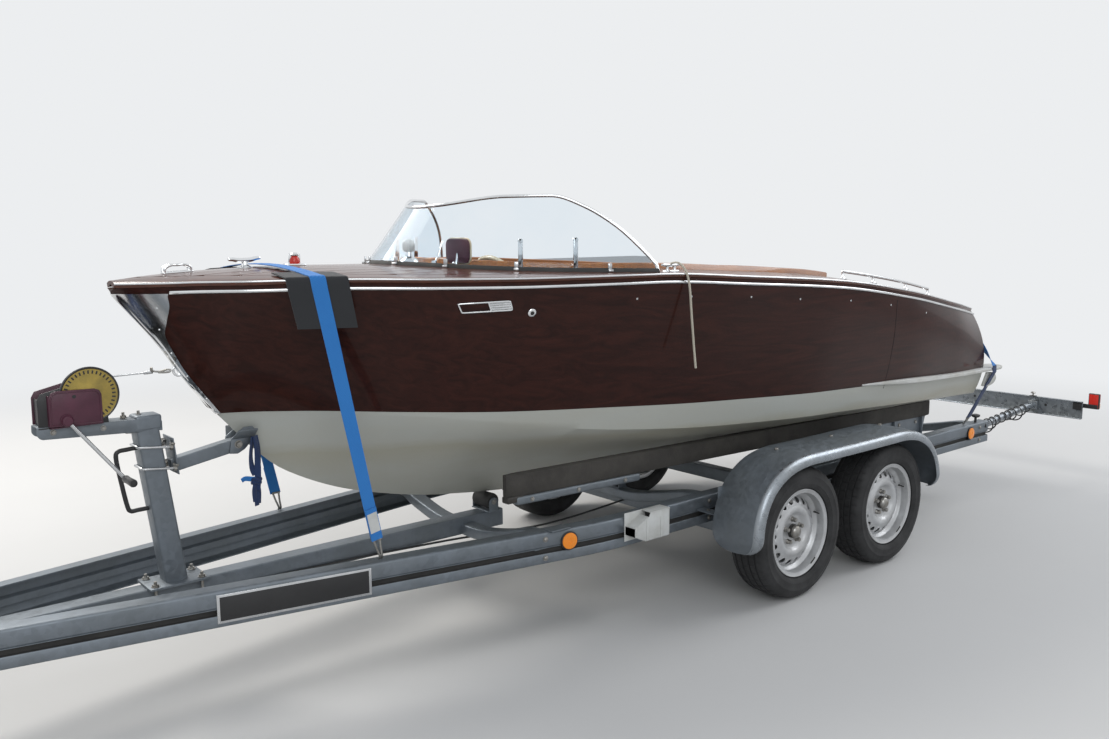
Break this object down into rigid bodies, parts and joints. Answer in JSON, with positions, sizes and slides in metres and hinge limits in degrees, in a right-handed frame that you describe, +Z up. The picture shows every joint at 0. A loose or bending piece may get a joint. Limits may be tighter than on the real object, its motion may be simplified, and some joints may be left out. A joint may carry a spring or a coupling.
{
  "type": "speedboat on trailer",
  "caption": "Varnished wooden speedboat with a curved windshield, strapped on a galvanised tandem-axle trailer with winch post, jockey wheel and light board.",
  "frame": {"origin": "middle of the bounding box on the ground, on the centre plane of boat and trailer", "axes": "+X to the bow and the coupling, +Y to port, +Z up"},
  "size_m": [7.54, 2.07, 1.8605],
  "materials": {
    "white_paint": "matt paint",
    "mahogany": "gloss varnish",
    "deck_mahogany": "gloss varnish",
    "chrome": "polished",
    "strake_white": "satin paint",
    "glass": "clear",
    "interior_wood": "satin varnish",
    "ivory_plastic": "gloss",
    "red_leather": "satin",
    "engine_iron": "painted",
    "bronze": "dull",
    "galvanised": "dull zinc",
    "bunk_rubber": "matt",
    "roller_rubber": "matt",
    "maroon_paint": "worn gloss",
    "zinc_disc": "zinc",
    "steel_rope": "dull",
    "board_aluminium": "satin",
    "white_plastic": "matt",
    "black_cloth": "matt",
    "blue_webbing": "woven",
    "pale_rope": "matt",
    "silver_rim": "satin",
    "tyre": "matt"
  },
  "bodies": {
    "boat_on_trailer": {"hull_bottom": "white_paint", "hull_side_port": "mahogany", "hull_side_starboard": "mahogany", "hull_bow": "mahogany", "transom": "mahogany", "foredeck": "deck_mahogany", "side_decks": "deck_mahogany", "aft_deck": "deck_mahogany", "sheer_strips": "chrome", "spray_strakes": "strake_white", "cutwater": "chrome", "windshield_glass": "glass", "windshield_frame": "chrome", "cockpit_floor": "interior_wood", "bulkheads": "interior_wood", "dashboard": "interior_wood", "seat_cushions": "red_leather", "engine_block": "engine_iron", "deck_fittings": "chrome", "handrails": "chrome", "running_gear": "bronze", "side_member_port": "galvanised", "side_member_starboard": "galvanised", "centre_beam": "galvanised", "cross_members": "galvanised", "axles": "galvanised", "fender_port": "galvanised", "fender_starboard": "galvanised", "bunks": "bunk_rubber", "bunk_supports": "galvanised", "keel_rollers": "roller_rubber", "roller_brackets": "galvanised", "winch_post": "galvanised", "bow_stop": "galvanised", "winch_frame": "maroon_paint", "winch_cable": "steel_rope", "coupling": "galvanised", "jockey_tube": "galvanised", "light_board": "board_aluminium", "chock_holder": "white_plastic", "strap_sleeves": "black_cloth", "straps": "blue_webbing", "rope": "pale_rope"},
    "jockey_leg": {"jockey_leg": "zinc_disc"},
    "jockey_fork": {"jockey_fork": "zinc_disc"},
    "jockey_wheel": {"jockey_wheel": "roller_rubber"},
    "winch_drum": {"winch_drum": "zinc_disc"},
    "winch_crank": {"winch_crank": "zinc_disc"},
    "propeller": {"propeller": "bronze"},
    "rudder": {"rudder": "bronze"},
    "steering_wheel": {"steering_wheel": "ivory_plastic"},
    "engine_hatch": {"engine_hatch": "deck_mahogany"},
    "wheel_front_port": {"rim_front_port": "silver_rim", "tyre_front_port": "tyre"},
    "wheel_front_starboard": {"rim_front_starboard": "silver_rim", "tyre_front_starboard": "tyre"},
    "wheel_rear_port": {"rim_rear_port": "silver_rim", "tyre_rear_port": "tyre"},
    "wheel_rear_starboard": {"rim_rear_starboard": "silver_rim", "tyre_rear_starboard": "tyre"}
  },
  "joints": [
    {"name": "wheel_front_port_spin", "type": "hinge", "parent": "boat_on_trailer", "child": "wheel_front_port", "pos_m": [-0.608, 0.885, 0.3125], "axis": [0, 1, 0], "continuous": true},
    {"name": "wheel_front_starboard_spin", "type": "hinge", "parent": "boat_on_trailer", "child": "wheel_front_starboard", "pos_m": [-0.608, -0.885, 0.3125], "axis": [0, 1, 0], "continuous": true},
    {"name": "wheel_rear_port_spin", "type": "hinge", "parent": "boat_on_trailer", "child": "wheel_rear_port", "pos_m": [-1.352, 0.885, 0.3125], "axis": [0, 1, 0], "continuous": true},
    {"name": "wheel_rear_starboard_spin", "type": "hinge", "parent": "boat_on_trailer", "child": "wheel_rear_starboard", "pos_m": [-1.352, -0.885, 0.3125], "axis": [0, 1, 0], "continuous": true},
    {"name": "jockey_leg_lift", "type": "slide", "parent": "boat_on_trailer", "child": "jockey_leg", "axis": [0, 0, 1], "range_m": [0, 0.12]},
    {"name": "jockey_swivel", "type": "hinge", "parent": "jockey_leg", "child": "jockey_fork", "pos_m": [2.92, 0.21719, 0.224], "axis": [0, 0, 1], "continuous": true},
    {"name": "jockey_wheel_spin", "type": "hinge", "parent": "jockey_fork", "child": "jockey_wheel", "pos_m": [2.875, 0.21719, 0.1], "axis": [0, 1, 0], "continuous": true},
    {"name": "winch_drum_turn", "type": "hinge", "parent": "boat_on_trailer", "child": "winch_drum", "pos_m": [2.186, 0, 1.165], "axis": [0, 1, 0], "continuous": true},
    {"name": "winch_crank_turn", "type": "hinge", "parent": "boat_on_trailer", "child": "winch_crank", "pos_m": [2.266, 0, 1.087], "axis": [0, 1, 0], "continuous": true},
    {"name": "propeller_spin", "type": "hinge", "parent": "boat_on_trailer", "child": "propeller", "pos_m": [-2.4, 0, 0.3594], "axis": [-0.9882, 0, -0.1532], "continuous": true},
    {"name": "rudder_turn", "type": "hinge", "parent": "boat_on_trailer", "child": "rudder", "pos_m": [-2.58, 0, 0.4685], "axis": [0, 0, 1], "range_deg": [-35, 35]},
    {"name": "steering_turn", "type": "hinge", "parent": "boat_on_trailer", "child": "steering_wheel", "pos_m": [0.58, 0.27, 1.4485], "axis": [-0.9063, 0, 0.4226], "range_deg": [-530, 530]},
    {"name": "engine_hatch_open", "type": "hinge", "parent": "boat_on_trailer", "child": "engine_hatch", "pos_m": [-1.706, 0, 1.42409], "axis": [0, 1, 0], "range_deg": [0, 70]}
  ],
  "couplings": [
    {"joint": "winch_crank_turn", "follows": "winch_drum_turn", "ratio": -6.5844},
    {"joint": "rudder_turn", "follows": "steering_turn", "ratio": 0.065}
  ]
}
